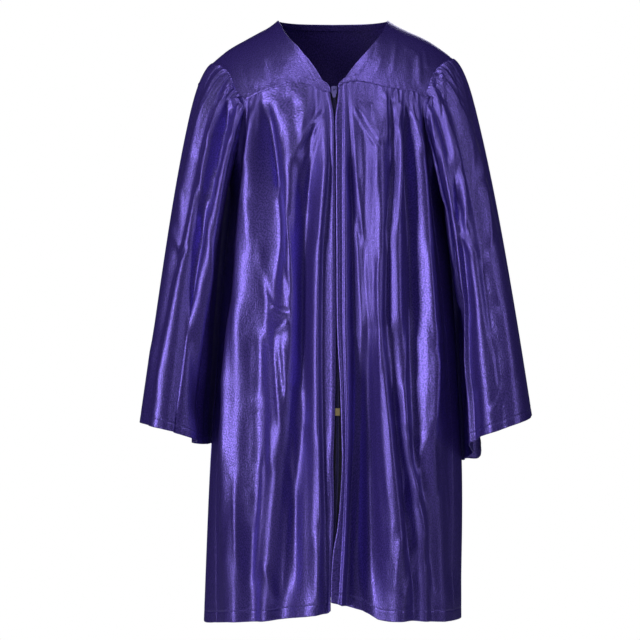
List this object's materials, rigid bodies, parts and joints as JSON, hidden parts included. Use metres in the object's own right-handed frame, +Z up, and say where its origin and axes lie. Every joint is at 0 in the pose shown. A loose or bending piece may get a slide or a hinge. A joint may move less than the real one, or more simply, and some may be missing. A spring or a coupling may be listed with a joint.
{
  "type": "graduation gown",
  "caption": "Child's satin graduation gown filled out as if worn, with a V neck, fluted yoke, gathered front and back, bell sleeves and a closed front zip.",
  "frame": {"origin": "midway between the two points where the shoulder seams meet the neckline, where the gown rests on its wearer", "axes": "+Z up, -Y out of the zipped front, +X towards the wearer's left"},
  "size_m": [0.4976, 0.2541, 0.7615],
  "materials": {
    "satin": "shiny satin weave",
    "zip_tape": "woven tape",
    "zip_coil": "nylon coil",
    "zip_metal": "enamelled zinc",
    "stop_metal": "pressed strip"
  },
  "bodies": {
    "gown": {"front_right": "satin", "front_left": "satin", "back": "satin", "yoke_front_right": "satin", "yoke_front_left": "satin", "yoke_back": "satin", "sleeve_right": "satin", "sleeve_left": "satin", "zip_tape_right": "zip_tape", "zip_tape_left": "zip_tape", "zip_chain": "zip_coil", "zip_slider": "zip_metal", "zip_bottom_stop": "stop_metal"},
    "pull_tab": {"zip_pull_tab": "zip_metal"}
  },
  "joints": [
    {"name": "pull_tab_swing", "type": "hinge", "parent": "gown", "child": "pull_tab", "pos_m": [0.00093, -0.08422, -0.09346], "axis": [-1, 0, 0], "range_deg": [0, 150]}
  ]
}
